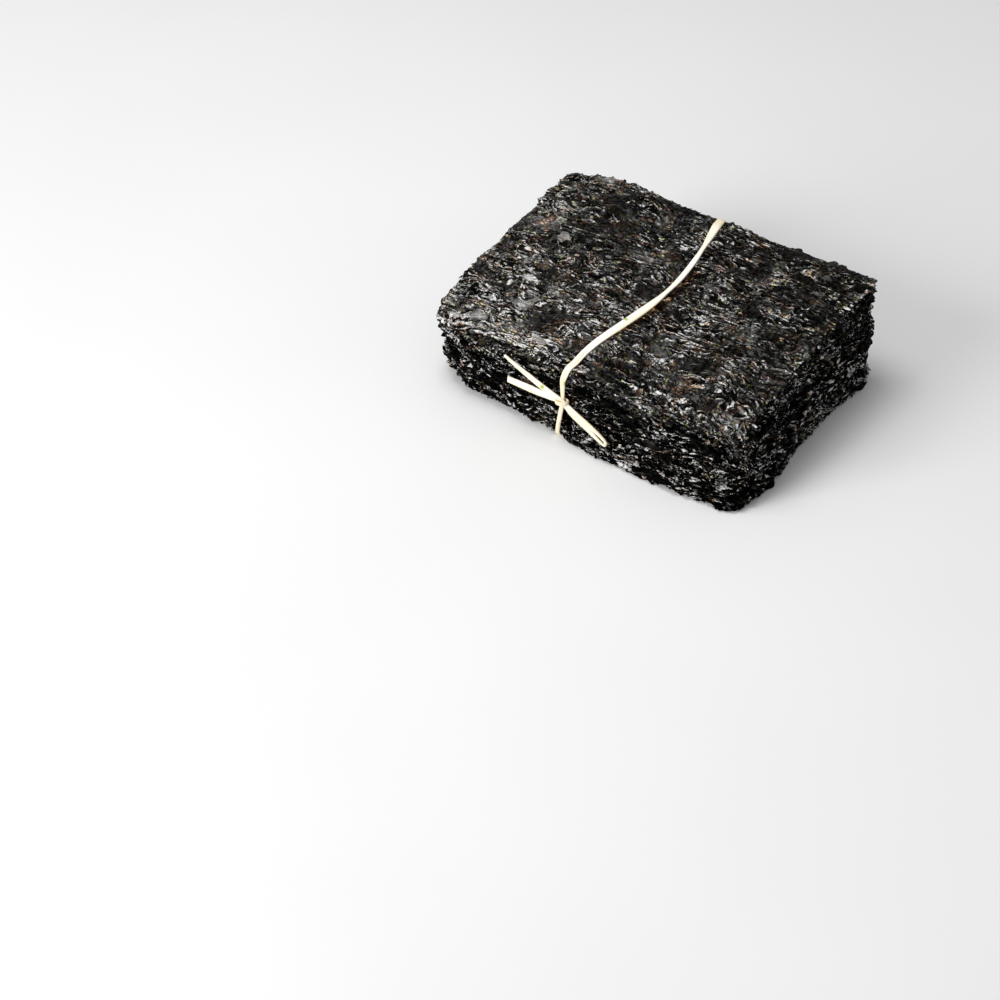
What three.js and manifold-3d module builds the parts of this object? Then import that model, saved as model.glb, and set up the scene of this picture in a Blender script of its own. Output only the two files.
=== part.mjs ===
// A tied bundle of dried laver: a squared stack of rough, torn sheets bound once round the middle
// with a flat straw. Its slip knot, two tails and one drawn loop lie on the front side.
// Millimetres, +Z up. The long side runs along X, the knot faces -Y and the stack lies on Z = 0.
import * as THREE from "three";
import { ImprovedNoise } from "three/addons/math/ImprovedNoise.js";
import { mergeVertices } from "three/addons/utils/BufferGeometryUtils.js";
import Module from "manifold-3d";

// The sheets and the stack they make
const SHEET_LENGTH = 270;
const SHEET_WIDTH = 190;
const CORNER_HEIGHT = 78; // mean of the four top corners
const RISE_RIGHT = 4.5; // the top rises this much from the middle to the +X side
const RISE_BACK = 8; // and this much to the +Y side
const CROWN = 5; // the middle stands above its edges
const CROWN_SQUARENESS = 6; // and keeps its height until close to them
const BACK_PUFF = 8; // the left half swells up at the back, where the straw lets it
const FRONT_BEND = 5; // the top sheets bend down over the front edge
const FRONT_ROLL = 15; // roll further over it to the right of the straw
const LEFT_DROOP = 6; // and hang down at the left front corner
const TOP_WAVE = 1.3; // long waves in the top sheet
const TOP_WAVE_SIZE = 32;
const TOP_CRUMPLE = 0.5; // short ones
const TOP_CRUMPLE_SIZE = 8.5;

// The ragged sides
const LEDGES = 20; // groups of sheets whose edges show
const LEDGE_DEPTH = 3.4; // how far the edge falls back between two of them
const LEDGE_SIZE = 17; // length of one stretch of an edge
const LEDGE_LEAST = 0.4;
const TEAR = 2.2; // how unevenly each edge is torn
const TEAR_SIZE = 9;
const SLIP = 1.6; // how far each group has slid from its neighbours
const SLIP_SIZE = 150;
const LAYER_WAVE = 1.4; // edges wave up and down
const LAYER_WAVE_SIZE = 27;
const LEFT_LIP = 4; // top sheets that hang out at the left of the front
const LEFT_RECESS = 4; // the hollow below that lip
const LEFT_BELLY = 5; // and the sheets that stand out again below it
const LEFT_TUCK = 5; // the lowest sheets are drawn in, left of the straw
const BACK_FLARE = 3.5; // sheets that stand out at the right back corner
const FRONT_SPREAD = 6.5; // the lowest sheets stand out in front, right of the straw
const RIGHT_SPREAD = 4; // and at the right of the near corner
const FLAP_REACH = 3.5; // torn flaps that stick out of the sides
const FLAP_SHARE = 0.07; // share of the edge points that are flaps

// How far each corner is rounded off, at the floor and at the top
const CORNERS = [
  { u: -1, v: -1, low: 18, high: 10 },
  { u: 1, v: -1, low: 6, high: 12 },
  { u: 1, v: 1, low: 1, high: 1 },
  { u: -1, v: 1, low: 8, high: 5 },
];
const CORNER_SHARPNESS = 6;

// The grid that the stack is bent from
const CELLS_X = 26;
const CELLS_Y = 18;
const RINGS = 2 * LEDGES;

// The straw
const STRAW_WIDTH = 6;
const STRAW_THICKNESS = 1.2;
const TAIL_WIDTH = 4.2;
const STRAP_STEPS = 88;
const TAIL_STEPS = 8;
const STRAW_GAP = 0.35; // clear of the sheets all round
const FLOOR_GAP = 0.8; // and of the floor, in a groove of the underside
const TOP_BACK_X = 2; // where the straw passes over the back edge
const TOP_FRONT_X = -9.5; // and over the front edge
const TOP_SWING = 16; // how far it swings out between them
const SWING_EARLY = 0.9;
const SWING_SHARPNESS = 1.2;
const UNDER_BACK_X = -6; // where it passes below the back edge
const UNDER_FRONT_X = -17; // and below the front edge
const STRAW_STANDS_OFF = 1; // from the squared outline, in front and behind
const STRAW_TURN = 4.5; // height at which it turns in below
const STRAW_FALL = 14; // height up to which it hangs straight, or down from the top's edge
const KNOT = { x: -11.7, z: 37.8 };
const KNOT_BOW = 1.5; // the straw stands out behind the knot
const KNOT_CLEAR = 62; // half of the stretch that the knot, tails and loop take
const KNOT_OUT = 5; // the knot's middle in front of the squared outline
const KNOT_RADII = [5.2, 3.6, 4.6];
const LOOP_LENGTH = 45;
const LOOP_WIDTH = 9;
const LOOP_SLIT = 1.2;
const LOOP_SLIT_LENGTH = 26;
const LOOP_SLOPE = -0.42; // radians, the loop points down to the right
const LOOP_STANDS_OFF = 0.06; // radians, and a little away from the sheets
const LOOP_NECK = 0.55; // share of its width at the knot
const TAIL_OUT = 8; // the tails' tips stand this far in front of the squared outline
const UPPER_TAIL = { x: -60, z: 61, bow: 1 };
const LOWER_TAIL = { x: -57, z: 40, bow: 2 };

const HALF_X = SHEET_LENGTH / 2;
const HALF_Y = SHEET_WIDTH / 2;
const perlin = new ImprovedNoise();
const wasm = await Module();
wasm.setup();

const { smoothstep, lerp, mapLinear } = THREE.MathUtils;

function bell(value, middle, width) {
  return Math.exp(-(((value - middle) / width) ** 2));
}

// Uneven value from about -1 to 1 with features of the given size, different on each layer.
function uneven(x, y, size, layer) {
  return perlin.noise(x / size, y / size, layer);
}

// Height of the top sheet over the floor. u and v run from -1 to 1 across the sheet.
function topHeight(u, v) {
  const plane = CORNER_HEIGHT + RISE_RIGHT * u + RISE_BACK * v;
  const crown = CROWN * (1 - u ** CROWN_SQUARENESS) * (1 - v ** CROWN_SQUARENESS);
  const puff = BACK_PUFF * bell(u, -0.5, 0.5) * smoothstep(v, -0.2, 1);
  const overFront = Math.max(0, -v) ** CROWN_SQUARENESS;
  const bend = (FRONT_BEND + FRONT_ROLL * bell(u, 0.42, 0.36)) * overFront;
  const droop = LEFT_DROOP * smoothstep(-u, 0.4, 1) * smoothstep(-v, 0.3, 1);
  const wave = TOP_WAVE * uneven(u * HALF_X, v * HALF_Y, TOP_WAVE_SIZE, 0.5);
  const crumple = TOP_CRUMPLE * uneven(u * HALF_X, v * HALF_Y, TOP_CRUMPLE_SIZE, 7.5);
  return plane + crown + puff - bend - droop + wave + crumple;
}

// How far the outline is drawn in near the corners, at the share w of the height.
function cornerPull(u, v, w) {
  const corner = CORNERS.find((each) => each.u * u >= 0 && each.v * v >= 0);
  const radius = lerp(corner.low, corner.high, w);
  return radius * Math.abs(u * v) ** CORNER_SHARPNESS;
}

// Groups of sheets that stand out or lie back: the lip, hollow and belly at the left front corner, the
// flare at the right back, and along the foot of the front the tuck on the left and spread on the right.
function looseLayers(u, v, w) {
  const isFront = v === -1 ? 1 : 0;
  const isRight = u === 1 ? 1 : 0;
  const isLeft = u === -1 ? 1 : 0;
  const leftCorner = Math.max(isFront * smoothstep(-u, 0.45, 0.85), isLeft * smoothstep(-v, 0.5, 0.9));
  const lip = LEFT_LIP * smoothstep(w, 0.72, 0.9);
  const hang = lip - LEFT_RECESS * bell(w, 0.58, 0.1) + LEFT_BELLY * bell(w, 0.32, 0.16);
  const flare = BACK_FLARE * isRight * smoothstep(v, 0.3, 0.95) * (1 - bell(w, 0.85, 0.07));
  const nearFoot = 1 - smoothstep(w, 0, 0.5);
  const tuck = LEFT_TUCK * isFront * smoothstep(-u, 0, 0.4);
  const frontSpread = FRONT_SPREAD * isFront * smoothstep(u, -0.3, 0.2);
  const rightSpread = RIGHT_SPREAD * isRight * smoothstep(-v, -0.2, 0.8);
  return leftCorner * hang + flare + nearFoot * (Math.max(frontSpread, rightSpread) - tuck);
}

// A fixed random number from 0 to 1 for one grid point.
function chance(u, v, ring) {
  const value = Math.sin(u * 127.1 + v * 311.7 + ring * 74.7) * 43758.5453;
  return value - Math.floor(value);
}

// Flaps stick out anywhere but under the knot and its tails.
function flapReach(u, v, ring) {
  const underKnot = v === -1 && Math.abs(u * HALF_X - KNOT.x) < KNOT_CLEAR;
  const isFlap = ring % 2 === 0 && chance(u, v, ring) < FLAP_SHARE;
  return isFlap && !underKnot ? FLAP_REACH : 0;
}

// How far an edge point of one ring stands out from the squared outline. Every other ring lies back.
function edgeReach(u, v, w) {
  const ring = Math.round(w * RINGS);
  const x = u * HALF_X;
  const y = v * HALF_Y;
  const slip = SLIP * uneven(x, y, SLIP_SIZE, ring * 0.37);
  const tear = TEAR * uneven(x, y, TEAR_SIZE, ring * 0.83 + 0.3);
  const depth = LEDGE_DEPTH * (0.75 + 0.9 * uneven(x, y, LEDGE_SIZE, ring * 0.71 + 9));
  const fallBack = ring % 2 === 1 ? Math.max(LEDGE_LEAST, depth) : 0;
  return looseLayers(u, v, w) + flapReach(u, v, ring) + slip + tear - fallBack;
}

// Place of one grid point in the bent stack.
function stackPoint(u, v, w) {
  const pull = cornerPull(u, v, w);
  const outward = new THREE.Vector2(
    Math.abs(u) === 1 ? u : 0,
    Math.abs(v) === 1 ? v : 0,
  );
  const onEdge = outward.length() > 0;
  const reach = onEdge ? edgeReach(u, v, w) : 0;
  outward.normalize().multiplyScalar(reach);
  const sway = LAYER_WAVE * Math.sin(Math.PI * w);
  const wave = onEdge ? sway * uneven(u * HALF_X, v * HALF_Y, LAYER_WAVE_SIZE, w * 2.5) : 0;
  return new THREE.Vector3(
    u * (HALF_X - pull) + outward.x,
    v * (HALF_Y - pull) + outward.y,
    w * topHeight(u, v) + wave,
  );
}

// Share of a grid count, free of rounding errors, so that edges are exactly -1 and 1.
function snap(value, cells) {
  return Math.round(value * cells) / cells;
}

function bareGeometry(geometry) {
  geometry.deleteAttribute("normal");
  geometry.deleteAttribute("uv");
  return mergeVertices(geometry);
}

function toSolid(geometry) {
  const bare = bareGeometry(geometry);
  return new wasm.Manifold(
    new wasm.Mesh({
      numProp: 3,
      vertProperties: Float32Array.from(bare.attributes.position.array),
      triVerts: Uint32Array.from(bare.index.array),
    }),
  );
}

function toGeometry(solid) {
  const mesh = solid.getMesh();
  const geometry = new THREE.BufferGeometry();
  geometry.setAttribute("position", new THREE.BufferAttribute(mesh.vertProperties, 3));
  geometry.setIndex(new THREE.BufferAttribute(mesh.triVerts, 1));
  return geometry;
}

function joinAll(solids) {
  return solids.reduce((whole, solid) => whole.add(solid));
}

// The largest body of a solid, without scraps that a cut has set free.
function mainBody(solid) {
  const bodies = solid.decompose();
  return bodies.reduce((best, body) => (body.volume() > best.volume() ? body : best));
}

function bentStack() {
  const geometry = bareGeometry(new THREE.BoxGeometry(2, 2, 1, CELLS_X, CELLS_Y, RINGS));
  const position = geometry.attributes.position;
  for (let i = 0; i < position.count; i += 1) {
    const u = snap(position.getX(i), CELLS_X / 2);
    const v = snap(position.getY(i), CELLS_Y / 2);
    const w = snap(position.getZ(i) + 0.5, RINGS);
    const place = stackPoint(u, v, w);
    position.setXYZ(i, place.x, place.y, place.z);
  }
  return toSolid(geometry);
}

// Straw of an oval section along a curve. across holds the section's sizes along the curve's first
// normal, which is the axis that it crosses most squarely, and along the other one.
function straw(points, across, steps) {
  const section = new THREE.Shape();
  section.absellipse(0, 0, across[0] / 2, across[1] / 2, 0, 2 * Math.PI);
  const extrudePath = new THREE.CatmullRomCurve3(points);
  return toSolid(new THREE.ExtrudeGeometry(section, { steps, extrudePath, curveSegments: 4 }));
}

// Sideways place of the straw on the top: it swings out between the back edge and the front edge.
function strawSide(y) {
  const forward = mapLinear(y, HALF_Y, -HALF_Y, 0, 1);
  const swing = Math.sin(Math.PI * forward ** SWING_EARLY) ** SWING_SHARPNESS;
  return lerp(TOP_BACK_X, TOP_FRONT_X, forward) + TOP_SWING * swing;
}

// The straw's round trip: up from the knot, back over the top, down the back and home below.
function strapPoints() {
  const half = STRAW_THICKNESS / 2;
  const lift = half + STRAW_GAP;
  const front = -HALF_Y - lift - STRAW_STANDS_OFF;
  const back = HALF_Y + lift + STRAW_STANDS_OFF;
  const overTop = [-0.94, -0.84, -0.7, -0.45, -0.15, 0.15, 0.45, 0.72, 0.92].map((v) => {
    const x = strawSide(v * HALF_Y);
    return new THREE.Vector3(x, v * HALF_Y, topHeight(x / HALF_X, v) + lift);
  });
  const below = [0.98, 0.9, 0.7, 0, -0.7, -0.9, -0.98].map((v) => {
    const x = mapLinear(v, 1, -1, UNDER_BACK_X, UNDER_FRONT_X);
    return new THREE.Vector3(x, v * HALF_Y, half + FLOOR_GAP);
  });
  const backTop = topHeight(TOP_BACK_X / HALF_X, 1);
  const frontTop = topHeight(TOP_FRONT_X / HALF_X, -1);
  return [
    new THREE.Vector3(KNOT.x, front - KNOT_BOW, KNOT.z),
    new THREE.Vector3(KNOT.x, front - KNOT_BOW / 3, frontTop - STRAW_FALL / 2),
    new THREE.Vector3(lerp(KNOT.x, TOP_FRONT_X, 0.5), front + STRAW_STANDS_OFF, frontTop),
    ...overTop,
    new THREE.Vector3(TOP_BACK_X, back - STRAW_STANDS_OFF, backTop - STRAW_FALL / 4),
    new THREE.Vector3(lerp(TOP_BACK_X, UNDER_BACK_X, 0.4), back, backTop * 0.6),
    new THREE.Vector3(lerp(TOP_BACK_X, UNDER_BACK_X, 0.8), back, STRAW_FALL),
    new THREE.Vector3(UNDER_BACK_X, back - half, STRAW_TURN),
    ...below,
    new THREE.Vector3(UNDER_FRONT_X, front + half, STRAW_TURN),
    new THREE.Vector3(lerp(UNDER_FRONT_X, KNOT.x, 0.2), front, STRAW_FALL),
    new THREE.Vector3(KNOT.x, front - KNOT_BOW, KNOT.z - half),
  ];
}

// One tail of the knot, bowed a little upwards.
function tail({ x, z, bow }) {
  const start = new THREE.Vector3(KNOT.x, -HALF_Y - KNOT_OUT, KNOT.z);
  const tip = new THREE.Vector3(x, -HALF_Y - TAIL_OUT, z);
  const middle = start.clone().lerp(tip, 0.5);
  middle.z += bow;
  return straw([start, middle, tip], [STRAW_THICKNESS, TAIL_WIDTH], TAIL_STEPS);
}

// The drawn loop: straw doubled back on itself, flat, with a slit left open near its end.
function drawnLoop() {
  const half = LOOP_WIDTH / 2;
  const far = LOOP_LENGTH - 0.4 * LOOP_WIDTH;
  const outline = new THREE.Shape();
  outline.moveTo(0, -LOOP_NECK * half);
  outline.lineTo(LOOP_LENGTH - half, -half);
  outline.absarc(LOOP_LENGTH - half, 0, half, -Math.PI / 2, Math.PI / 2);
  outline.lineTo(0, LOOP_NECK * half);
  const slit = new THREE.Path();
  slit.moveTo(far - LOOP_SLIT_LENGTH, 0);
  slit.lineTo(far, LOOP_SLIT / 2);
  slit.lineTo(far, -LOOP_SLIT / 2);
  outline.holes.push(slit);
  const geometry = new THREE.ExtrudeGeometry(outline, {
    depth: STRAW_THICKNESS,
    bevelEnabled: false,
    curveSegments: 4,
  });
  geometry.rotateZ(LOOP_SLOPE);
  geometry.rotateX(Math.PI / 2);
  geometry.rotateZ(-LOOP_STANDS_OFF);
  geometry.translate(KNOT.x, -HALF_Y - KNOT_OUT, KNOT.z);
  return toSolid(geometry);
}

function knot(extra) {
  const geometry = new THREE.SphereGeometry(1, 12, 8);
  geometry.scale(...KNOT_RADII.map((radius) => radius + extra));
  geometry.translate(KNOT.x, -HALF_Y - KNOT_OUT, KNOT.z);
  return toSolid(geometry);
}

// The strap itself, or with a gap all round the channel that it lies in.
function strap(gap) {
  return straw(strapPoints(), [STRAW_WIDTH + 2 * gap, STRAW_THICKNESS + 2 * gap], STRAP_STEPS);
}

// Straight groove in the underside, open to the floor, from the back edge to the front edge.
function underGroove() {
  const depth = FLOOR_GAP + STRAW_THICKNESS + STRAW_GAP;
  const geometry = new THREE.BoxGeometry(STRAW_WIDTH + 2 * STRAW_GAP, SHEET_WIDTH * 1.2, 2 * depth);
  geometry.rotateZ(-Math.atan2(UNDER_BACK_X - UNDER_FRONT_X, SHEET_WIDTH));
  geometry.translate(lerp(UNDER_BACK_X, UNDER_FRONT_X, 0.5), 0, 0);
  return toSolid(geometry);
}

function strawTie() {
  return joinAll([strap(0), knot(0), tail(UPPER_TAIL), tail(LOWER_TAIL), drawnLoop()]);
}

function namedMesh(name, geometry, color, roughness) {
  const material = new THREE.MeshStandardMaterial({ color, roughness, metalness: 0 });
  const mesh = new THREE.Mesh(geometry, material);
  mesh.name = name;
  return mesh;
}

const channel = joinAll([strap(STRAW_GAP), knot(STRAW_GAP), underGroove()]);
const sheets = mainBody(bentStack().subtract(channel));
const bundle = new THREE.Group();
bundle.add(
  namedMesh("nori_bundle", toGeometry(sheets), 0x15171a, 0.55),
  namedMesh("straw_tie", toGeometry(strawTie()), 0xe9dfb8, 0.6),
);

// The origin is the middle of the underside of the whole bundle.
const box = new THREE.Box3().setFromObject(bundle);
const middle = box.getCenter(new THREE.Vector3());
bundle.position.set(-middle.x, -middle.y, -box.min.z);

export default bundle;
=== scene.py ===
"""Looks of a tied bundle of dried laver sheets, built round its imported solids.

Sizes are in millimetres and become metres when a mesh is made. The sheets' long side runs along X,
the knot faces -Y and the bundle lies on Z = 0.
"""
import math
from collections import namedtuple

import bpy
import numpy as np
from mathutils import Matrix, Vector
from mathutils.bvhtree import BVHTree


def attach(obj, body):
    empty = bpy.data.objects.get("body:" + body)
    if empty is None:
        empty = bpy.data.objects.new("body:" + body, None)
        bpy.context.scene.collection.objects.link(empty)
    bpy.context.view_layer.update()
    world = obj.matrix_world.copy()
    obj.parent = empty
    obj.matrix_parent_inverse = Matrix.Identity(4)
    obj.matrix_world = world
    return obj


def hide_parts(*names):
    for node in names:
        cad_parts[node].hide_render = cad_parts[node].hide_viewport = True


# Points in millimetres, triangles, a colour for each point and a map place for each triangle corner
Shape = namedtuple("Shape", "points triangles colours places")

# Middle sizes of a kind of flake with their spreads, the limits of its length, and the corners of its rim
FlakeKind = namedtuple("FlakeKind", "length width thickness limits corners")

MM = 0.001
SEED = 11
ACROSS = np.array([1.0, 0.0, 0.0])
UPWARD = np.array([0.0, 0.0, 1.0])

# The stack, as the solids give it
CENTRE = np.array([-0.76, 1.95])
SHEET_LENGTH = 270.0
SHEET_WIDTH = 190.0
HALF_SHEET = np.array([SHEET_LENGTH, SHEET_WIDTH]) / 2
CORNER_ROUND = 8.0
CORNER_SHARPNESS = 6
TOP_PROBE = 4.0  # spacing of the heights read off the solid
TOP_MARGIN = 12.0
PROBE_HEIGHT = 300.0
RIM_INSET = 3.0  # where the rim's height is read
SIDE_LEVELS = 24
SIDE_PROBE = 4  # the side is read at one edge point in so many
PROBE_START = 40.0
LOWEST_SHARE = 0.02
HIGHEST_SHARE = 0.97

# Edge points along the two sides of a sheet, and the cells of the grids that fill a whole sheet
EDGE_CELLS = (178, 126)
TOP_CELLS = (372, 262)
CORE_CELLS = (60, 42)
RING = 2 * sum(EDGE_CELLS)
TOP_STEP = SHEET_LENGTH / TOP_CELLS[0]

# Sheets and their torn edges
SHEETS = 50
SHEETS_A_PIECE = 25
SHEET_THICKNESS = 0.5
EDGE_DEPTH = 7.0
EDGE_OUT = 0.4  # sheets reach past the mean of the solid's ledges
SLIP = 0.6
CLUMP = 1.3
TEAR = 0.9
FRAY = 0.7
CORNER_FRAY = 1.0
CURL = 0.5
FINE_CURL = 0.2

# Dents in the left side, by place, length and depth, which grow between two shares of the height
DENTS = ((0.3, 0.5, 2.2), (0.74, 0.1, 3.4), (0.47, 0.16, 2.8), (-0.2, 0.15, 2.4))
DENT_RISE = (0.3, 0.8)

# Packs of sheets that stand out at the right back corner, and their share of the height
LEDGE_REACH = 2.6
LEDGE_HEIGHT = 0.48

# The core that the sheets lie on: shares of the height, and how far in its wall lies there
CORE_LEVELS = ((0.95, 6.0), (0.7, 6.0), (0.45, 6.0), (0.2, 6.0), (0.02, 2.0))
FLOOR_CLEAR = 0.3
GROOVE_DEPTH = 2.6  # below, for the straw
GROOVE_REACH = 1.6  # in widths of the straw

# The top sheet: heights and lengths of its swells and wrinkles, and its painted sheen
SWELL = 0.7
SWELL_LENGTH = 9.0
WRINKLE = 0.85
WRINKLE_SIZES = (1.9, 4.2)
WRINKLE_TURN = 12.0  # over so far the wrinkles change their direction
LENS_DEPTH = 14.0
SHEEN_SLOPE = (0.38, 0.43)  # towards the left and the front
SHOULDER_SHEEN = 2.6
RIM_SHEEN = 0.5

# Flakes that the sheets are pressed from, where they show
ANY_LENGTH = (0.0, math.inf)
TOP_FLAKE = FlakeKind((5.0, 0.42), (2.4, 0.33), (0.3, 0.3), (1.6, 9.0), 6)
TOP_PATCH = FlakeKind((8.0, 0.25), (4.0, 0.25), (0.6, 0.2), ANY_LENGTH, 11)
SIDE_FLAKE = FlakeKind((3.0, 0.42), (1.3, 0.33), (0.28, 0.3), (1.0, 9.0), 6)
SIDE_PATCH = FlakeKind((6.0, 0.35), (3.6, 0.3), (0.4, 0.2), ANY_LENGTH, 11)
RIM_FLAKE = FlakeKind((4.5, 0.4), (2.2, 0.33), (0.3, 0.3), (1.6, 9.0), 6)
TOP_FLAKES = 15500
TOP_PATCHES = 30
SIDE_FLAKES = 14500
SIDE_LAYERS = 2
SIDE_PATCHES = 320
SIDE_SPREAD = 0.9  # of the side flakes, in and out
PATCH_OUT = 1.2
RIM_FLAKES = 2600  # of the top sheet, over its rim
RIM_DROP = (1.0, 3.0, 4.5)  # how far below the rim they lie: least, more, and still more at the left front
RIM_CELLS = 6  # left free of flakes
PATCH_RIM_CELLS = 13
FLAKE_UNEVEN = 0.22
FLAKE_TURN = 0.3
FLAKE_BEND = 0.16
FLAKE_CURL = 0.1

# Where large bare films lie on the top, and how far the flakes stay off them
FILM_PLACES = (
    (-74.9, -56.9), (-120.3, -81.7), (-90.2, 18.8), (-99.5, -78.0), (-85.4, -31.0), (-45.4, -82.0),
)
FILM_REACH = (7.0, 5.0)
FILM_LIFT = 0.9
BARE_GAIN = (3.8, 1.7, 2.2)  # how much brighter, longer and wider they are than the other films

# The straw
STRAW_WIDTH = 6.2
STRAW_THICKNESS = 1.5
STRAW_LIFT = 1.2
SHOULDER_LIFT = 1.3  # where the strap is drawn tight over the front edge
SHOULDER_PLACE = (-0.82, 0.2)
NARROWING = 0.28  # of the strap's back half
PINCHES = ((0.02, 0.16), (0.58, 0.2), (0.9, -0.2))  # where it is narrower or wider, and by what share
PINCH_LENGTH = 0.13
BED_SLOPE = 0.9
BED_REACH = 12.0
NECK_WIDTH = 3.7  # next to the knot
STRAND_THICKNESS = 1.6
STRAW_SIDES = 14
STRAW_OUT = 2.4
TOP_X = (2.0, -9.5)  # sideways places at the back and at the front
UNDER_X = (-6.0, -17.0)
TOP_SWING = 16.0
SWING_EARLY = 0.9
SWING_SHARPNESS = 1.2
KNOT = np.array([-11.7, -100.0, 37.8])
WRAP_SIZE = (5.0, 3.0, 0.9)
WRAP_STEPS = 40
WRAP_WIDTH = 3.6
WRAP_THICKNESS = 1.3

# Colours of the straw: its body, its paler ridges and the folds
STRAW_BODY = np.array([0.94, 0.855, 0.64])
STRAW_PALE = np.array([0.98, 0.945, 0.84])
STRAW_FOLD = np.array([0.66, 0.46, 0.20])

# Share of the folds' tone on the knot, on the strap at the back edge and on the front, and on the loop
WRAP_TAN = 0.4
BACK_TAN = 0.45
FRONT_TAN = 0.2
LOOP_TAN = 0.16

# Green specks on the straw: on a tail, on the neck and on the strap's left
SPECKS = ((-27.9, -100.6, 46.3), (-10.9, -97.4, 54.5), (2.3, -38.5, 81.6))
SPECK_SIZE = 1.7
SPECK_TONE = (0.40, 0.50, 0.10)

# The strap's painted shadow beside it, tinted brown: its tint, how far it lies from the strap's middle,
# and its ends
STRAP_SHADOW = np.array([0.55, 0.29, 0.15])
SHADOW_NEAR = (1.0, 4.0)
SHADOW_FAR = (7.0, 12.0)
SHADOW_FRONT = (-62.0, -45.0)
SHADOW_BACK = (25.0, 45.0)

# The camera, in millimetres and degrees, fitted to the stack's corners in the photograph
CAMERA_PLACE = np.array([775.44, -1317.42, 1230.83])
CAMERA_TURNS = ((34.63, "Z"), (90 - 41.59, "X"), (0.07, "Z"))  # azimuth, elevation and roll
FOCAL_PIXELS = 2600.0
IMAGE_PIXELS = 1000.0
SENSOR = 36.0

# Middle brightness of the nori, and its spread from flake to flake as a power of e; the sides are painted
# far darker than the top, as painted shade
TOP_LIGHT = (0.0275, 0.42)
SHADED_SIDE_LIGHT = (0.001, 0.9)
FILM_LIGHT = (0.05, 0.3)
GREY = np.array([1.02, 1.00, 0.98])
PLAIN = (1, 1, 1, 1)
MIDDLE = (0.5, 0.5, 0.5)
BROWN = (1.20, 0.77, 0.58, 1)
OLIVE = (1.60, 1.70, 0.65, 1)
BRIGHTEST = (0.70, 0.70, 0.70)

# Scales of the nori's patterns, in features a metre
STIRS = ((70, 0.021), (190, 0.004))  # each with the distance in metres that it moves the pattern
STROKE_SCALE = 75
STROKE_COUNT = 4.5
STROKE_SHARE = 0.58  # of the height, the rest of which the flakes give
FLAKE_SCALE = 370
SPECK_SCALE = 900
FILM_SCALE = 95
CLOUD_SCALE = 65
RUST_SCALE = 90
OLIVE_SCALE = 330
GLOSS_SCALE = 420

rng = np.random.default_rng(SEED)
gauss = rng.standard_normal


def blur(values, sigma, axis, wrap=False):
    """Gaussian blur of an array along one axis."""
    radius = int(3 * sigma) + 1
    kernel = np.exp(-0.5 * (np.arange(-radius, radius + 1) / sigma) ** 2)
    kernel /= kernel.sum()
    margins = [(radius, radius) if a == axis else (0, 0) for a in range(values.ndim)]
    padded = np.pad(values, margins, mode="wrap" if wrap else "edge")
    return np.apply_along_axis(np.convolve, axis, padded, kernel, "valid")


def soften(grid, sigma):
    """Gaussian blur of a grid along both sides."""
    return blur(blur(grid, sigma, 0), sigma, 1)


def soft_noise(shape, lengths):
    """Smooth random numbers with a spread of 1, in features so many samples long."""
    spectrum = np.fft.fftn(gauss(shape))
    for axis, length in enumerate(lengths):
        fade = np.exp(-2 * (np.pi * np.fft.fftfreq(shape[axis]) * length) ** 2)
        spectrum *= fade.reshape([-1 if a == axis else 1 for a in range(len(shape))])
    noise = np.fft.ifftn(spectrum).real
    return noise / noise.std()


def spread(count, middle, factor):
    """So many sizes about a middle one, most within a factor of exp(factor)."""
    return middle * np.exp(factor * gauss(count))


def ease(values, low, high):
    """Smooth rise from 0 at a low value to 1 at a high one."""
    share = np.clip((values - low) / (high - low), 0, 1)
    return share * share * (3 - 2 * share)


def bell(values, place, length):
    """1 at a place, falling smoothly to 0 on both sides of it."""
    return np.exp(-(((values - place) / length) ** 2))


def mix(first, second, share):
    """The first value where a share is 0, and the second where it is 1."""
    return first * (1 - share) + second * share


def unit(vectors):
    return vectors / np.linalg.norm(vectors, axis=-1, keepdims=True)


def raised(flat, heights):
    """Points at heights above flat places."""
    return np.concatenate([flat, heights[..., None]], -1)


def squared_outline():
    """Points round a sheet and their normals, counter-clockwise from the left front."""
    rows, columns = grid_ring(EDGE_CELLS)
    u = 2 * columns / EDGE_CELLS[0] - 1
    v = 2 * rows / EDGE_CELLS[1] - 1
    pull = CORNER_ROUND * np.abs(u * v) ** CORNER_SHARPNESS
    points = np.stack([u * (HALF_SHEET[0] - pull), v * (HALF_SHEET[1] - pull)], 1) + CENTRE
    ahead = np.roll(points, -3, 0) - np.roll(points, 3, 0)
    normals = unit(np.stack([ahead[:, 1], -ahead[:, 0]], 1))
    return points, normals


def fill_gaps(heights):
    """Heights carried outwards over the cells that the probe missed."""
    while np.isnan(heights).any():
        padded = np.pad(heights, 1, constant_values=np.nan)
        near = np.stack([padded[:-2, 1:-1], padded[2:, 1:-1], padded[1:-1, :-2], padded[1:-1, 2:]])
        known = ~np.isnan(near)
        mean = np.where(known, near, 0).sum(0) / np.maximum(known.sum(0), 1)
        heights = np.where(np.isnan(heights) & known.any(0), mean, heights)
    return heights


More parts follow.
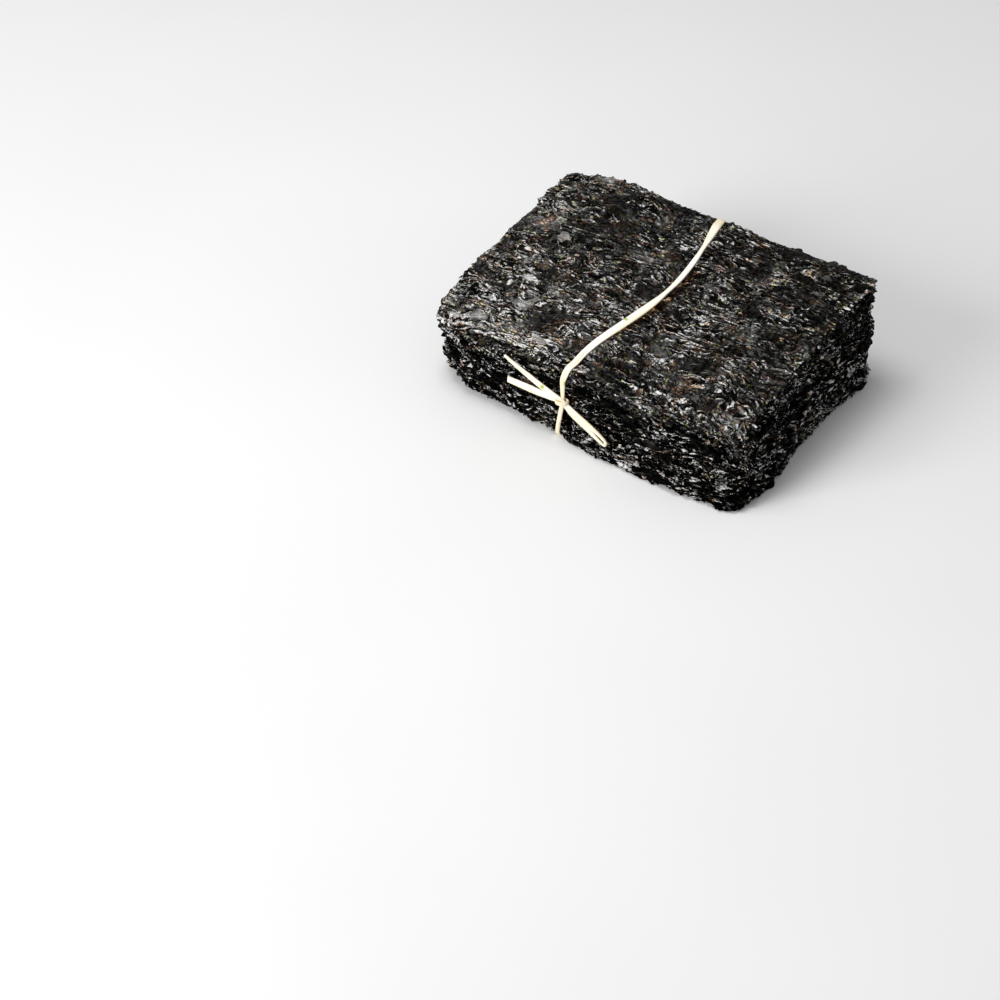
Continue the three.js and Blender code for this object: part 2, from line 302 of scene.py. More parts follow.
class Stack:
    """Smoothed form of the solid stack: its top's height and its sides' reach."""

    def __init__(self, node):
        points = [v.co / MM for v in node.data.vertices]
        self.tree = BVHTree.FromPolygons(points, [p.vertices for p in node.data.polygons])
        self.outline, self.normals = squared_outline()
        self.read_top()
        self.rim = self.top_at(self.outline - RIM_INSET * self.normals)
        u, v = ((self.outline - CENTRE) / HALF_SHEET).T
        self.corner = np.abs(u * v) ** 4
        self.ragged = self.corner * ((u > 0) & (v > 0))
        hollow = sum(depth * bell(v, place, length) for place, length, depth in DENTS)
        self.dent = hollow * ease(-self.normals[:, 0], 0.5, 0.9)
        self.read_sides()

    def read_top(self):
        reach = HALF_SHEET + TOP_MARGIN
        self.xs, self.ys = (np.arange(c - r, c + r, TOP_PROBE) for c, r in zip(CENTRE, reach))
        heights = np.full((len(self.ys), len(self.xs)), np.nan)
        for j, i in np.ndindex(heights.shape):
            place = np.array([self.xs[i], self.ys[j]])
            hit = self.tree.ray_cast(Vector((*place, PROBE_HEIGHT)), Vector(-UPWARD))[0]
            if hit is not None and np.all(np.abs(place - CENTRE) < HALF_SHEET - 1):
                heights[j, i] = hit.z
        self.heights = soften(fill_gaps(heights), 0.9)

    def top_at(self, places):
        """Height of the top at flat places."""
        i = np.clip((places[..., 0] - self.xs[0]) / TOP_PROBE, 0, len(self.xs) - 1.001)
        j = np.clip((places[..., 1] - self.ys[0]) / TOP_PROBE, 0, len(self.ys) - 1.001)
        i0 = i.astype(int)
        j0 = j.astype(int)
        near = mix(self.heights[j0, i0], self.heights[j0, i0 + 1], i - i0)
        far = mix(self.heights[j0 + 1, i0], self.heights[j0 + 1, i0 + 1], i - i0)
        return mix(near, far, j - j0)

    def read_sides(self):
        shares = np.linspace(LOWEST_SHARE, HIGHEST_SHARE, SIDE_LEVELS)
        probes = np.arange(0, RING, SIDE_PROBE)

        def probe(share, k):
            start = self.outline[k] + PROBE_START * self.normals[k]
            inward = Vector((*-self.normals[k], 0))
            hit = self.tree.ray_cast(Vector((*start, share * self.rim[k])), inward, 2 * PROBE_START)
            return PROBE_START - hit[3] if hit[0] is not None else 0

        reach = np.array([[probe(share, k) for k in probes] for share in shares])
        reach = blur(blur(reach, 1.1, 0), 1.0, 1, wrap=True)
        self.reach = np.stack([np.interp(np.arange(RING), probes, row, period=RING) for row in reach])
        self.reach -= ease(shares, *DENT_RISE)[:, None] * self.dent
        ledges = LEDGE_REACH * np.cos(2 * np.pi * (1 - shares) / LEDGE_HEIGHT)
        self.reach += ledges[:, None] * self.ragged

    def reach_at(self, share, columns=np.arange(RING)):
        """Mean reach of the side at shares of the height, by edge point."""
        part = np.clip((share - LOWEST_SHARE) / (HIGHEST_SHARE - LOWEST_SHARE), 0, 1)
        level = part * (SIDE_LEVELS - 1.001)
        low = level.astype(int)
        return mix(self.reach[low, columns], self.reach[low + 1, columns], level - low)

    def edge(self, share, out, columns=np.arange(RING)):
        """Points on the side at shares of the height, so far out from its mean."""
        reach = self.reach_at(share, columns) + out
        flat = self.outline[columns] + self.normals[columns] * reach[..., None]
        return raised(flat, share * self.rim[columns])


def ring_steps(cells):
    """Steps along the ring of edge points that divide its four sides into cells."""
    corners = np.cumsum([0, *EDGE_CELLS, *EDGE_CELLS])
    sides = zip(corners, corners[1:], (*cells, *cells))
    return np.concatenate([np.linspace(a, b, n, endpoint=False) for a, b, n in sides])


def on_ring(values, steps):
    """Values of the edge points, read at steps between them."""
    wrapped = np.vstack([values, values[:1]])
    low = steps.astype(int)
    return mix(wrapped[low], wrapped[low + 1], (steps - low)[:, None])


def fill_grid(ring, cells):
    """Grid of points across a ring, blended from its four sides."""
    a, b, c = np.cumsum([cells[0], cells[1], cells[0]])
    front = ring[: a + 1]
    right = ring[a : b + 1]
    back = ring[b : c + 1][::-1]
    left = np.vstack([ring[c:], ring[:1]])[::-1]
    u = np.linspace(0, 1, cells[0] + 1)[None, :, None]
    v = np.linspace(0, 1, cells[1] + 1)[:, None, None]
    corners = mix(mix(front[0], front[-1], u), mix(back[0], back[-1], u), v)
    return mix(front[None], back[None], v) + mix(left[:, None], right[:, None], u) - corners


def grid_ring(cells):
    """Rows and columns of a grid's edge, in the order of the ring."""
    across = np.arange(cells[0])
    along = np.arange(cells[1])
    rows = np.concatenate([0 * across, along, 0 * across + cells[1], cells[1] - along])
    columns = np.concatenate([across, 0 * along + cells[0], cells[0] - across, 0 * along])
    return rows, columns


def grid_triangles(cells):
    """Triangles of one filled grid, facing up."""
    index = np.arange((cells[0] + 1) * (cells[1] + 1)).reshape(cells[1] + 1, cells[0] + 1)
    return quad_triangles(index[:-1, :-1], index[:-1, 1:], index[1:, 1:], index[1:, :-1])


def grid_places(cells, low, high):
    """Map places of a grid's points, between two corners of the map."""
    u, v = np.meshgrid(*(np.linspace(a, b, n + 1) for a, b, n in zip(low, high, cells)))
    return np.stack([u.ravel(), v.ravel()], 1)


def quad_triangles(a, b, c, d):
    """Two triangles for each four corners."""
    return np.stack([a, b, c, a, c, d], -1).reshape(-1, 3)


def quad_places(left, right, first, second):
    """Map places of such triangles, between two columns and two rows of the map."""
    a, b, c, d = (left, first), (left, second), (right, second), (right, first)
    places = [np.stack(np.broadcast_arrays(*corner), -1) for corner in (a, b, c, a, c, d)]
    return np.stack(places, -2).reshape(-1, 3, 2)


def add_object(name, data):
    """A new object in the scene."""
    added = bpy.data.objects.new(name, data)
    bpy.context.scene.collection.objects.link(added)
    return added


def new_piece(name, shape, material, smooth=True):
    """A mesh piece with a colour for each point and its own map for the bake."""
    mesh = bpy.data.meshes.new(name)
    mesh.vertices.add(len(shape.points))
    mesh.vertices.foreach_set("co", (shape.points * MM).astype(np.float32).ravel())
    mesh.loops.add(shape.triangles.size)
    mesh.loops.foreach_set("vertex_index", shape.triangles.astype(np.int32).ravel())
    mesh.polygons.add(len(shape.triangles))
    mesh.polygons.foreach_set("loop_start", np.arange(0, shape.triangles.size, 3, dtype=np.int32))
    mesh.update(calc_edges=True)
    if not smooth:
        mesh.shade_flat()
    tone = mesh.color_attributes.new("tone", "FLOAT_COLOR", "POINT")
    opaque = np.append(shape.colours, np.ones((len(shape.colours), 1)), 1)
    tone.data.foreach_set("color", opaque.astype(np.float32).ravel())
    places = mesh.uv_layers.new(name="OFBake")
    places.data.foreach_set("uv", shape.places.astype(np.float32).ravel())
    mesh.materials.append(material)
    return add_object(name, mesh)


def make_core(stack, material):
    """Closed block behind the sheets' edges, with a groove below for the straw."""
    steps = ring_steps(CORE_CELLS)
    count = len(steps)
    walls = [on_ring(stack.edge(np.full(RING, share), -inset), steps) for share, inset in CORE_LEVELS]
    top_flat, under_flat = (fill_grid(walls[n][:, :2], CORE_CELLS).reshape(-1, 2) for n in (0, -1))
    top = raised(top_flat, CORE_LEVELS[0][0] * stack.top_at(top_flat))
    under = raised(under_flat, under_height(under_flat))
    rows, columns = grid_ring(CORE_CELLS)
    edge = rows * (CORE_CELLS[0] + 1) + columns
    first_under = len(top) + count * len(walls)
    wall_rings = np.arange(len(top), first_under).reshape(len(walls), count)
    rings = [edge, *wall_rings, first_under + edge]
    across = np.arange(count + 1) / count
    faces = grid_triangles(CORE_CELLS)
    triangles = [faces, faces[:, ::-1] + first_under]
    places = [
        grid_places(CORE_CELLS, (0, 0), (0.49, 0.6))[faces],
        grid_places(CORE_CELLS, (0.51, 0), (1, 0.6))[faces[:, ::-1]],
    ]
    for n, (upper, lower) in enumerate(zip(rings, rings[1:])):
        triangles.append(quad_triangles(upper, lower, np.roll(lower, -1), np.roll(upper, -1)))
        places.append(quad_places(across[:-1], across[1:], 1 - 0.06 * n, 0.95 - 0.06 * n))
    points = np.vstack([top, *walls, under])
    # painted dark like the sides, as painted shade
    colours = np.ones((1, 3)) * spread((len(points), 1), SHADED_SIDE_LIGHT[0], 0.3)
    shape = Shape(points, np.vstack(triangles), colours, np.vstack(places))
    return new_piece("nori_core", shape, material)


def under_height(places):
    """Height of the underside, with a groove for the straw."""
    forward = 0.5 - (places[..., 1] - CENTRE[1]) / SHEET_WIDTH
    straw_x = mix(*UNDER_X, forward) + CENTRE[0]
    groove = np.clip(GROOVE_REACH - np.abs(places[..., 0] - straw_x) / STRAW_WIDTH, 0, 1)
    return FLOOR_CLEAR + GROOVE_DEPTH * groove


def grid_noise(size, *lengths):
    """Soft noise over the top sheet, with lengths in millimetres."""
    return soft_noise(size, [length / TOP_STEP for length in lengths])


def off_films(places):
    """Distance from the middle of the nearest bare film, as a share of its reach."""
    gaps = (places[..., None, :2] - np.array(FILM_PLACES)) / FILM_REACH
    return np.sqrt((gaps**2).sum(-1)).min(-1)


def sheen(size):
    """Painted sheen of the top sheet: lighter towards the left and the front, most on its rolled edge at
    the left front, a little on its right rim.
    """
    u, v = np.meshgrid(np.linspace(-1, 1, size[1]), np.linspace(-1, 1, size[0]))
    shoulder = ease(-u, 0.1, 0.45) * ease(-v, 0.7, 0.9)
    slope = 1 - SHEEN_SLOPE[0] * u - SHEEN_SLOPE[1] * v
    return slope + SHOULDER_SHEEN * shoulder + RIM_SHEEN * ease(u, 0.9, 0.97)


def make_top_sheet(stack, bed, material):
    """Wrinkled top sheet with a torn rim, closed by a lens-shaped underside."""
    steps = ring_steps(TOP_CELLS)
    count = len(steps)
    rim = stack.outline + stack.normals * (stack.reach_at(np.ones(RING)) + EDGE_OUT)[:, None]
    flat = fill_grid(on_ring(rim, steps), TOP_CELLS)
    size = flat.shape[:2]
    rows, columns = grid_ring(TOP_CELLS)
    tear = TEAR * soft_noise((count,), (4,)) + FRAY * soft_noise((count,), (1.3,))
    frayed = on_ring(stack.normals * (1 + CORNER_FRAY * stack.corner)[:, None], steps)
    flat[rows, columns] += frayed * tear[:, None]
    turn = ease(grid_noise(size, WRINKLE_TURN, WRINKLE_TURN), -1, 1)
    thin, long = WRINKLE_SIZES
    streaks = grid_noise(size, thin, long) * turn + grid_noise(size, long, thin) * (1 - turn)
    wrinkle = 0.8 - np.abs(streaks)
    relief = SWELL * grid_noise(size, SWELL_LENGTH, SWELL_LENGTH) + WRINKLE * wrinkle
    relief *= ease(off_films(flat), 0.5, 1.4)
    top = raised(flat, stack.top_at(flat) + relief)
    below = np.append(CENTRE, top[..., 2].mean() - LENS_DEPTH)
    points = np.vstack([bed.press(top.reshape(-1, 3)), below[None]])
    edge = rows * (TOP_CELLS[0] + 1) + columns
    faces = grid_triangles(TOP_CELLS)
    fan = np.stack([np.full(count, len(points) - 1), np.roll(edge, -1), edge], 1)
    across = np.arange(count + 1) / count
    corners = ((0.5 * (across[:-1] + across[1:]), 1.0), (across[1:], 0.97), (across[:-1], 0.97))
    fan_places = np.stack([np.stack([u, np.full(count, v)], 1) for u, v in corners], 1)
    places = np.vstack([grid_places(TOP_CELLS, (0, 0), (1, 0.96))[faces], fan_places])
    # lighter on the wrinkles' ridges, as painted highlights, and by the painted sheen
    brightness = TOP_LIGHT[0] * np.exp(0.35 * grid_noise(size, 7, 7) + 0.5 * wrinkle) * sheen(size)
    colours = GREY * brightness.reshape(-1, 1)
    # paints the strap's shadow, dark brown, beside it
    colours = bed.recolour(points, np.append(colours, colours[:1], 0))
    shape = Shape(points, np.vstack([faces, fan]), colours, places)
    return new_piece("nori_top_sheet", shape, material), top


def make_sheets(stack, bed, material):
    """The edge of every sheet as a thin closed ring, torn, slipped and curled."""
    size = (SHEETS, RING)
    share = np.repeat(((np.arange(SHEETS) + 0.6) / (SHEETS + 0.6))[:, None], RING, 1)
    slip = SLIP * gauss((SHEETS, 2)) @ stack.normals.T
    clump = CLUMP * soft_noise(size, (1.2, 9))
    tear = TEAR * soft_noise(size, (0.3, 3)) + FRAY * soft_noise(size, (0.1, 1))
    out = EDGE_OUT + slip + clump + tear * (1 + CORNER_FRAY * stack.corner)
    curl = CURL * soft_noise(size, (0.9, 2.5)) + FINE_CURL * soft_noise(size, (0.1, 1))
    half = SHEET_THICKNESS / 2
    lift = np.maximum(curl, FLOOR_CLEAR + half - share * stack.rim)
    corners = []
    for reach, rise in ((out - EDGE_DEPTH, 0 * lift), (out, lift + half), (out + 0.1, lift - half)):
        place = stack.edge(share, reach)
        place[..., 2] += rise
        corners.append(place)
    points = np.stack(corners, 2)
    points = bed.press(points.reshape(-1, 3)).reshape(points.shape)
    # the sheets' edges painted dark, as painted shade on the sides
    brightness = SHADED_SIDE_LIGHT[0] * np.exp(0.8 * soft_noise(size, (0.3, 1.2)))
    colours = GREY * np.repeat(brightness[..., None, None], 3, 2)
    pieces = []
    for number, first in enumerate(range(0, SHEETS, SHEETS_A_PIECE), 1):
        part = slice(first, first + SHEETS_A_PIECE)
        shape = ring_shape(points[part], colours[part])
        pieces.append(new_piece(f"nori_sheets_{number}", shape, material))
    return pieces


def ring_shape(points, colours):
    """Closed rings from points given by ring, place round it and place in its section."""
    rings, count, corners = points.shape[:3]
    index = np.arange(rings * count * corners).reshape(rings, count, corners)
    onward = np.roll(index, -1, 1)
    triangles = quad_triangles(index, np.roll(index, -1, 2), np.roll(onward, -1, 2), onward)
    ring, place, corner = np.indices(index.shape)
    row = (ring * corners + corner) / (rings * corners)
    height = 0.9 / (rings * corners)
    places = quad_places(place / count, (place + 1) / count, row, row + height)
    return Shape(points.reshape(-1, 3), triangles, colours.reshape(-1, 3), places)


def draw_tones(light, factors):
    """Colours of flakes, about a middle brightness times their own factors."""
    return GREY * (spread(len(factors), *light) * factors)[:, None]


def draw_sizes(count, kind):
    """Lengths, widths and thicknesses of so many flakes of a kind."""
    length = spread(count, *kind.length).clip(*kind.limits)
    width = spread(count, *kind.width)
    return length, width, spread(count, *kind.thickness)


def flake_shape(kind, centre, along, normal, sizes, colours):
    """Closed flat flakes with an uneven rim, one for each row of the arrays."""
    count = len(centre)
    corners = kind.corners
    length, width, thickness = sizes
    along = unit(along - normal * (along * normal).sum(1, keepdims=True))
    side = np.cross(normal, along)
    steps = np.arange(corners)
    turn = 2 * np.pi * (steps + FLAKE_TURN * gauss((count, corners)).clip(-1, 1)) / corners
    reach = 1 + FLAKE_UNEVEN * gauss((count, corners)).clip(-2, 2)
    forward = length[:, None] / 2 * np.cos(turn) * reach
    bend = FLAKE_BEND * length * gauss(count)
    sideways = width[:, None] / 2 * np.sin(turn) * reach + bend[:, None] * (np.cos(turn) ** 2 - 0.5)
    curl = FLAKE_CURL * np.minimum(width, 2.0)[:, None] * gauss((count, corners))
    rim = centre[:, None]
    for direction, distance in ((along, forward), (side, sideways), (normal, curl)):
        rim = rim + direction[:, None] * distance[..., None]
    rise = normal * thickness[:, None] / 2
    points = np.concatenate([(centre + rise)[:, None], (centre - rise)[:, None], rim], 1)
    following = (steps + 1) % corners
    upper = np.stack([0 * steps, 2 + steps, 2 + following], 1)
    lower = np.stack([0 * steps + 1, 2 + following, 2 + steps], 1)
    pattern = np.vstack([upper, lower])
    triangles = (pattern[None] + points.shape[1] * np.arange(count)[:, None, None]).reshape(-1, 3)

    cells = math.ceil(math.sqrt(count))
    cell = np.stack(np.divmod(np.arange(count), cells)[::-1], 1)
    wheel = 2 * np.pi * steps / corners
    rim_places = np.stack([0.23 * np.cos(wheel), 0.46 * np.sin(wheel)], 1)
    hub = 0 * rim_places
    rim_next = np.roll(rim_places, -1, 0)
    upper_places = np.stack([hub, rim_places, rim_next], 1) + (0.25, 0.5)
    lower_places = np.stack([hub, rim_next, rim_places], 1) + (0.75, 0.5)
    wheel_places = np.vstack([upper_places, lower_places])
    places = ((cell[:, None, None] + wheel_places[None]) / cells).reshape(-1, 3, 2)

    # painted shading across each flake: rim corners at random lighter or darker, and hubs lighter as a
    # painted highlight
    shade = 0.95 + 0.22 * gauss((count, points.shape[1]))
    shade[:, :2] += 0.1
    tints = (colours[:, None] * shade[..., None]).reshape(-1, 3)
    return Shape(points.reshape(-1, 3), triangles, tints, places)


def surface_normals(top):
    """Normals of the top sheet, smoothed over a few cells."""
    smooth = soften(top, 2.2)
    return unit(np.cross(np.gradient(smooth, axis=1), np.gradient(smooth, axis=0)))


def pick_cells(weights, count, rim):
    """Indices of so many cells off the rim, drawn by their weights."""
    inner = np.zeros(weights.shape)
    inner[rim:-rim, rim:-rim] = weights[rim:-rim, rim:-rim]
    return rng.choice(inner.size, count, p=(inner / inner.sum()).ravel())


def level_directions(angles):
    """Level directions at angles to X."""
    return np.stack([np.cos(angles), np.sin(angles), 0 * angles], 1)


def flake_piece(name, bed, material, *flakes, smooth=True):
    """A piece of flakes, pressed in below the strap and painted with its shadow beside it."""
    shape = flake_shape(*flakes)
    points = bed.press(shape.points)
    points[:, 2] = np.maximum(points[:, 2], FLOOR_CLEAR)
    colours = bed.recolour(shape.points, shape.colours)
    return new_piece(name, shape._replace(points=points, colours=colours), material, smooth)


def make_top_flakes(top, bed, material):
    """Small flakes matted over the top sheet in swirls."""
    size = top.shape[:2]
    swirl = 0.9 * grid_noise(size, 9, 9)
    crowd = np.exp(0.6 * grid_noise(size, 5, 5)) * (off_films(top) > 1)
    # random tone times the painted sheen
    light = np.exp(0.35 * grid_noise(size, 6, 6)) * sheen(size)
    cells = np.unravel_index(pick_cells(crowd, TOP_FLAKES, RIM_CELLS), size)
    along = level_directions(swirl[cells] + 0.55 * gauss(TOP_FLAKES))
    normal = unit(surface_normals(top)[cells] + 0.1 * gauss((TOP_FLAKES, 3)))
    centre = top[cells] + normal * (0.1 + 0.3 * rng.random((TOP_FLAKES, 1)))
    centre[:, :2] += rng.random((TOP_FLAKES, 2)) - 0.5
    colours = draw_tones(TOP_LIGHT, light[cells])
    sizes = draw_sizes(TOP_FLAKES, TOP_FLAKE)
    return flake_piece("nori_top_flakes", bed, material, TOP_FLAKE, centre, along, normal, sizes, colours)


def make_top_patches(top, bed, material):
    """Large films on the top: some at random, and the bare ones."""
    size = top.shape[:2]
    chosen = pick_cells(sheen(size), TOP_PATCHES, PATCH_RIM_CELLS)
    gaps = top[:, :, None, :2] - np.array(FILM_PLACES)
    nearest = (gaps**2).sum(-1).reshape(-1, len(FILM_PLACES)).argmin(0)
    cells = np.unravel_index(np.append(chosen, nearest), size)
    count = TOP_PATCHES + len(FILM_PLACES)
    along = level_directions(0.25 * gauss(count))
    normal = surface_normals(top)[cells]
    bare = np.arange(count) >= TOP_PATCHES
    brighter, longer, wider = (np.where(bare, gain, 1) for gain in BARE_GAIN)
    colours = draw_tones(FILM_LIGHT, brighter)
    length, width, thickness = draw_sizes(count, TOP_PATCH)
    sizes = (length * longer, width * wider, thickness)
    centre = soften(top, 4)[cells] + FILM_LIFT * normal
    flakes = (TOP_PATCH, centre, along, normal, sizes, colours)
    return flake_piece("nori_top_patches", bed, material, *flakes, smooth=False)


def side_directions(stack, columns, lean, tilt, turn):
    """Long directions and normals of flakes that lean out on the side."""
    size = (len(columns), 3)
    outward = raised(stack.normals[columns], 0 * columns)
    normal = UPWARD * np.cos(lean) + outward * np.sin(lean)
    normal = unit(normal + tilt * gauss(size))
    along = np.cross(UPWARD, outward) + turn * gauss(size)
    return along, normal


def make_side_flakes(stack, bed, material):
    """Torn flakes along the sheets' edges, many small and some large."""
    levels = 60
    light = np.exp(0.6 * soft_noise((levels, RING), (1.5, 7)))

    def scatter(name, kind, out, rise):
        count = len(out)
        columns = rng.integers(0, RING, count)
        share = 0.015 + 0.97 * rng.random(count)
        lean = np.radians(rng.uniform(5, 80, (count, 1)))
        along, normal = side_directions(stack, columns, lean, 0.2, 0.22)
        sizes = draw_sizes(count, kind)
        # painted dark like the sheets' edges, as painted shade on the sides
        colours = draw_tones(SHADED_SIDE_LIGHT, light[(share * levels).astype(int), columns])
        centre = stack.edge(share, out, columns)
        normal = unit(normal + rise * UPWARD)
        return flake_piece(name, bed, material, kind, centre, along, normal, sizes, colours)

    pieces = []
    for layer in range(SIDE_LAYERS):
        out = EDGE_OUT + SIDE_SPREAD * gauss(SIDE_FLAKES)
        pieces.append(scatter(f"nori_side_flakes_{layer + 1}", SIDE_FLAKE, out, 0))
    out = EDGE_OUT + PATCH_OUT * np.abs(gauss(SIDE_PATCHES))
    pieces.append(scatter("nori_side_patches", SIDE_PATCH, out, 1))
    return pieces


def make_rim_flakes(stack, bed, material):
    """Flakes bent down over the top's rim, further down at the left front, and with a painted sheen:
    lightest there, light on the rest of the front.
    """
    columns = rng.integers(0, RING, RIM_FLAKES)
    front = ease(-stack.normals[columns, 1], 0.3, 0.8)
    left = ease(-stack.outline[columns, 0] / SHEET_LENGTH, -0.05, 0.2)
    least, more, most = RIM_DROP
    drop = least + np.abs(gauss(RIM_FLAKES)) * (more + most * front * left)
    out = EDGE_OUT + 2.2 * front - 1.2 + 0.5 * gauss(RIM_FLAKES)
    centre = stack.edge(1 - drop / stack.rim[columns], out, columns)
    lean = 0.5 + 0.8 * ease(drop, 0, 10)
    along, normal = side_directions(stack, columns, lean[:, None], 0.15, 0.35)
    sizes = draw_sizes(RIM_FLAKES, RIM_FLAKE)
    # painted sheen: lighter on the front rim, most at the left front
    colours = draw_tones(TOP_LIGHT, 0.3 + 0.7 * front + 1.2 * front * left)
    return flake_piece("nori_rim_flakes", bed, material, RIM_FLAKE, centre, along, normal, sizes, colours)


def smooth_path(points, spacing):
    """Catmull-Rom curve through points with a width, evenly spaced."""
    points = np.asarray(points, float)
    padded = np.vstack([2 * points[:1] - points[1:2], points, 2 * points[-1:] - points[-2:-1]])
    t = np.linspace(0, 1, 24, endpoint=False)[:, None]
    curve = []
    for a, b, c, d in zip(padded, padded[1:], padded[2:], padded[3:]):
        rise = (c - a) * t + (2 * a - 5 * b + 4 * c - d) * t**2 + (3 * b - a - 3 * c + d) * t**3
        curve.append(b + 0.5 * rise)
    curve = np.vstack([*curve, points[-1:]])
    distance = np.append(0, np.cumsum(np.linalg.norm(np.diff(curve[:, :3], axis=0), axis=1)))
    stops = np.linspace(0, distance[-1], max(4, int(distance[-1] / spacing)))
    columns = [np.interp(stops, distance, column) for column in curve.T]
    return np.stack(columns[:3], 1), columns[3]


def straw_frame(path, broad):
    """Directions across a straw's wide face and through it, along its path."""
    ahead = unit(np.gradient(path, axis=0))
    side = unit(broad - ahead * (broad * ahead).sum(1, keepdims=True))
    return side, np.cross(ahead, side)


class Bed:
    """The place of the strap, in which the stack is pressed in."""

    def __init__(self, stack):
        self.path, self.width = smooth_path(strap_route(stack), 1.2)
        self.width = self.width * (1 + 0.08 * soft_noise((len(self.path),), (16,)))
        self.inward = straw_frame(self.path, ACROSS)[1]

    def recolour(self, points, colours):
        """The colours of points on the top, with the strap's shadow painted dark brown in a band on its
        right.
        """
        on_top = self.path[self.inward[:, 2] < -0.8]
        aside = points[:, 0] - np.interp(points[:, 1], on_top[:, 1], on_top[:, 0])
        across = ease(aside, *SHADOW_NEAR) * (1 - ease(aside, *SHADOW_FAR))
        along = ease(points[:, 1], *SHADOW_FRONT) * (1 - ease(points[:, 1], *SHADOW_BACK))
        return colours * (1 + (across * along)[:, None] * (STRAP_SHADOW - 1))

    def press(self, points):
        """The points, with those that would cover the strap moved in below it."""
        pressed = points.copy()
        middle = self.path[:, 0].mean()
        reach = np.ptp(self.path[:, 0]) / 2 + BED_REACH
        close = np.flatnonzero(np.abs(points[:, 0] - middle) < reach)
        for part in np.array_split(close, 1 + len(close) // 2000):
            gaps = points[part, None] - self.path[None]
            nearest = (gaps**2).sum(-1).argmin(1)
            gap = gaps[np.arange(len(part)), nearest]
            inward = self.inward[nearest]
            depth = (gap * inward).sum(1)
            aside = np.linalg.norm(gap - inward * depth[:, None], axis=1)
            wanted = STRAW_THICKNESS / 2 - BED_SLOPE * np.maximum(aside - self.width[nearest] / 2, 0)
            push = np.where(np.abs(depth) < BED_REACH, np.maximum(wanted - depth, 0), 0)
            pressed[part] += inward * np.where(aside < BED_REACH, push, 0)[:, None]
        return pressed


def straw_shape(path, broad, width, thickness):
    """Closed straw along a path; broad points across its wide face."""
    count = len(path)
    side, face = straw_frame(path, broad)
    angle = np.linspace(0, 2 * np.pi, STRAW_SIDES, endpoint=False)
    cos, sin = np.cos(angle), np.sin(angle)
    across = np.sign(cos) * np.abs(cos) ** 0.8
    bulge = np.sign(sin) * np.abs(sin) ** 0.7
    ridge = 1 + 0.06 * soft_noise((count, STRAW_SIDES), (12, 0.4))
    x = (width / 2)[:, None] * across * ridge
    y = thickness / 2 * bulge * ridge
    rings = path[:, None] + side[:, None] * x[..., None] + face[:, None] * y[..., None]
    points = np.vstack([rings.reshape(-1, 3), path[:1], path[-1:]])
    index = np.arange(count * STRAW_SIDES).reshape(count, STRAW_SIDES)
    onward = np.roll(index, -1, 1)
    walls = quad_triangles(index[:-1], onward[:-1], onward[1:], index[1:])
    start = np.full(STRAW_SIDES, count * STRAW_SIDES)
    first = np.stack([start, onward[0], index[0]], 1)
    last = np.stack([start + 1, index[-1], onward[-1]], 1)

    step, turn = np.indices((count - 1, STRAW_SIDES))
    low, high = turn / STRAW_SIDES, (turn + 1) / STRAW_SIDES
    wall_places = quad_places(step / count, (step + 1) / count, low, high)
    wheel = (0.5 + 0.5 * np.stack([cos, sin], 1)) / count
    hub = 0 * wheel + 0.5 / count
    corner = np.array([1 - 1 / count, 0])
    first_places = corner + np.stack([hub, np.roll(wheel, -1, 0), wheel], 1)
    last_places = corner + (0, 0.5) + np.stack([hub, wheel, np.roll(wheel, -1, 0)], 1)

    streak = ease(soft_noise((count, STRAW_SIDES), (14, 0.6)), -1.2, 0.8)[..., None]
    fold = ease(soft_noise((count, STRAW_SIDES), (9, 0.5)), 1.5, 2.6)[..., None]
    fold = np.maximum(fold, 0.4 * np.abs(across)[None, :, None] ** 8)
    colours = mix(mix(STRAW_BODY, STRAW_PALE, streak), STRAW_FOLD, fold)
    colours = np.vstack([colours.reshape(-1, 3), colours[0, :1], colours[-1, :1]])
    places = np.vstack([wall_places, first_places, last_places])
    return Shape(points, np.vstack([walls, first, last]), colours, places)


def join_shapes(shapes):
    """One shape from several, whose maps become bands of one map."""
    banded = []
    first = 0
    for n, shape in enumerate(shapes):
        places = shape.places * (1, 0.98 / len(shapes)) + (0, n / len(shapes))
        banded.append(shape._replace(triangles=shape.triangles + first, places=places))
        first += len(shape.points)
    return Shape(*[np.vstack(arrays) for arrays in zip(*banded)])


def straw_side(y):
    """Sideways place of the straw on the top, where it swings out."""
    forward = 0.5 - y / SHEET_WIDTH
    swing = math.sin(math.pi * forward**SWING_EARLY) ** SWING_SHARPNESS
    return mix(*TOP_X, forward) + TOP_SWING * swing


